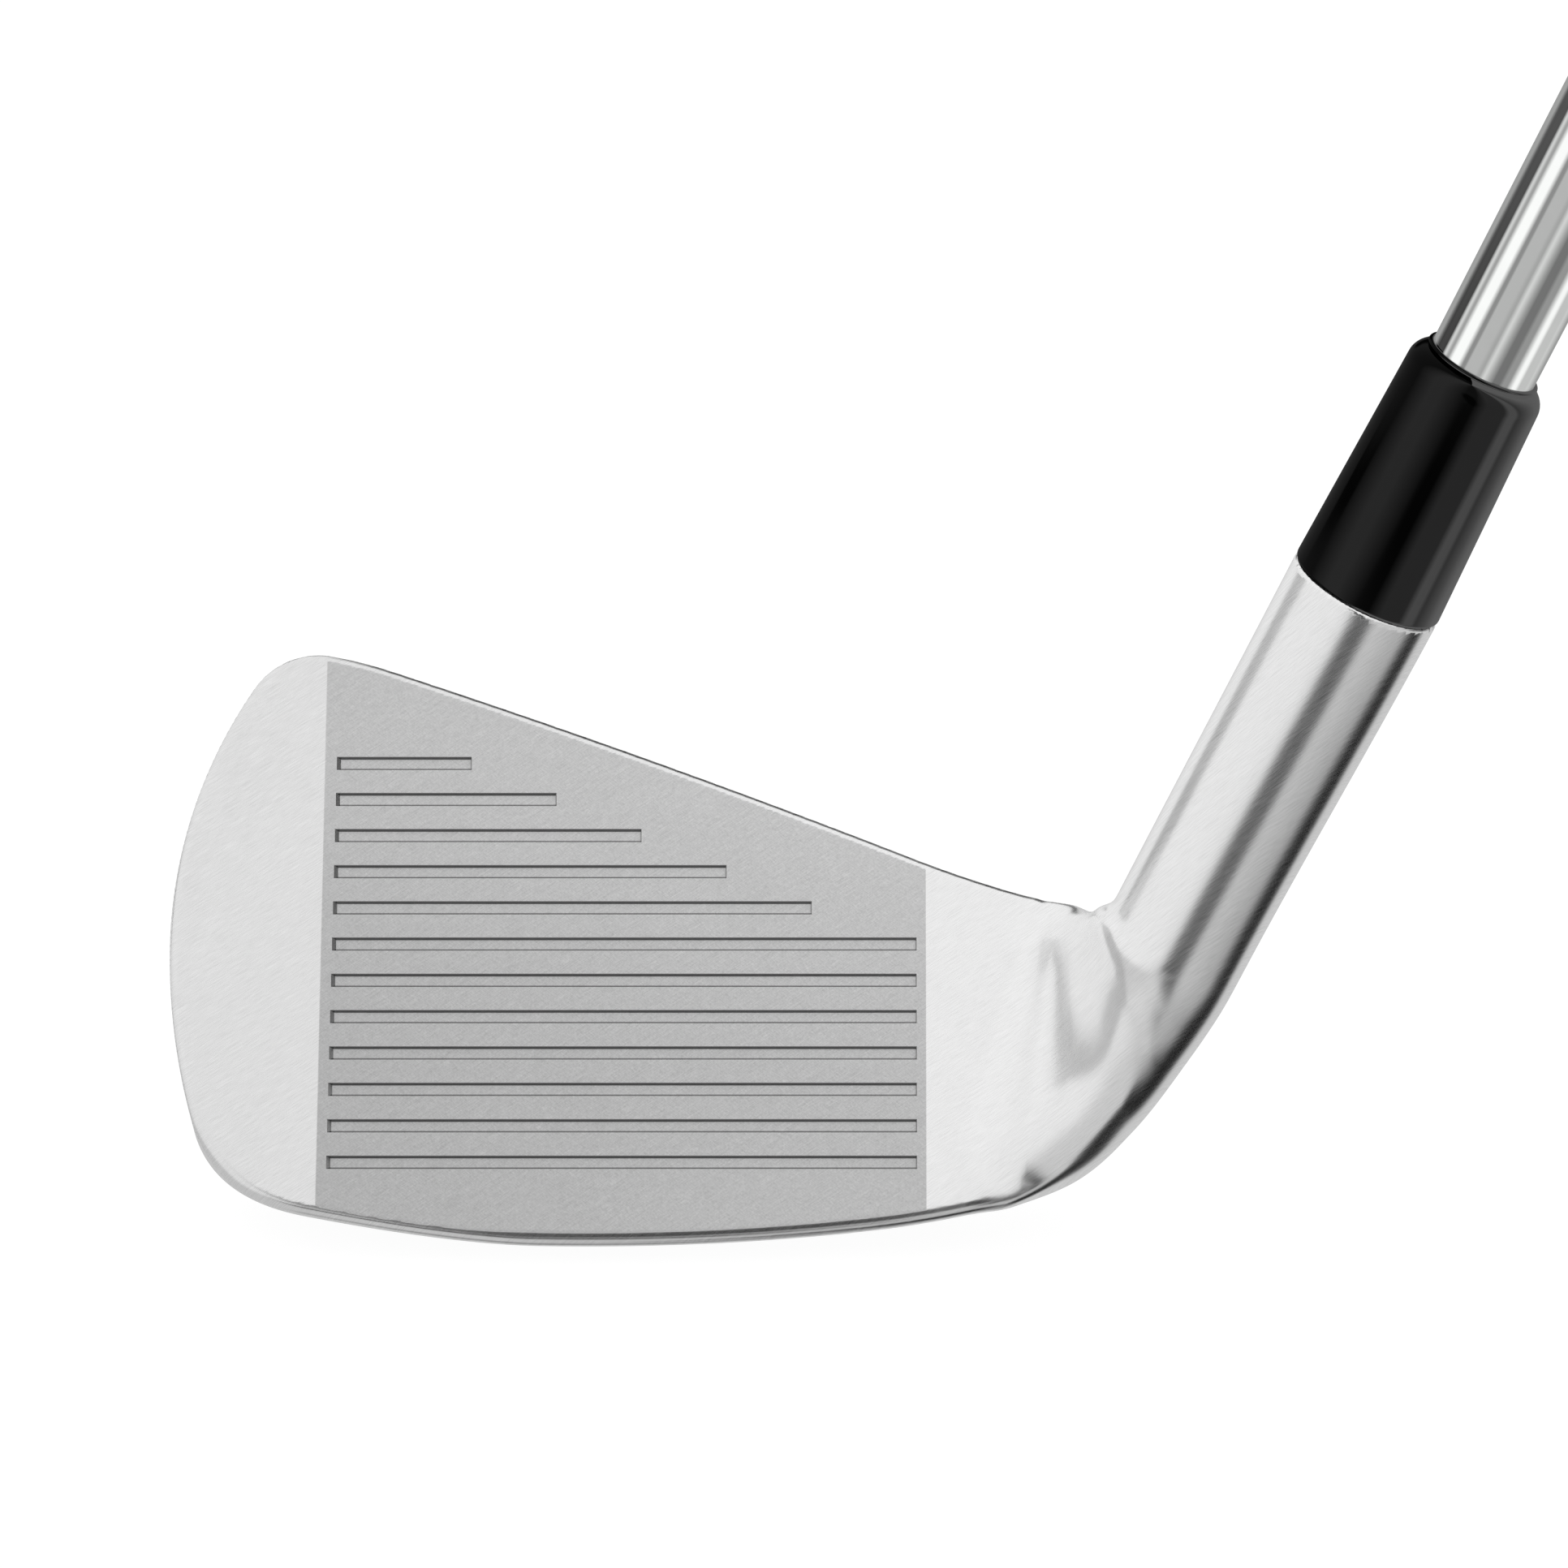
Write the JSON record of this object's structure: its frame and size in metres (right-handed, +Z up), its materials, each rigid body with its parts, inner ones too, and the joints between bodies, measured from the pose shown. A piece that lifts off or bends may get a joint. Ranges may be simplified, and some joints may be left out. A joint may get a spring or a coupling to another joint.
{
  "type": "iron golf club",
  "caption": "Right-handed iron: lofted one-piece blade head with scored face and hosel, ferrule, stepped steel shaft and rubber grip.",
  "frame": {"origin": "lowest point of the sole, where the head rests on the ground when the club is soled at address", "axes": "+X from the toe towards the shaft, +Y from the face towards the back of the head, +Z up; the shaft leans 65 degrees to the ground in the XZ plane"},
  "size_m": [0.4833, 0.0421, 0.8571],
  "materials": {
    "satin_chrome": "satin chrome plate over forged carbon steel, with a blasted hitting area",
    "polished_chrome": "bright chrome plate",
    "ferrule_black": "polished",
    "epoxy": "cured",
    "brass": "turned",
    "band_film": "satin film",
    "tape": "masking tape",
    "grip_rubber": "matt, moulded texture",
    "cap_rubber": "matt"
  },
  "bodies": {
    "root": {"head": "satin_chrome", "hosel_bond": "epoxy", "tip_weight": "brass", "ferrule": "ferrule_black", "shaft": "polished_chrome", "shaft_band": "band_film", "grip_tape": "tape", "grip": "grip_rubber", "grip_cap": "cap_rubber"}
  },
  "joints": []
}
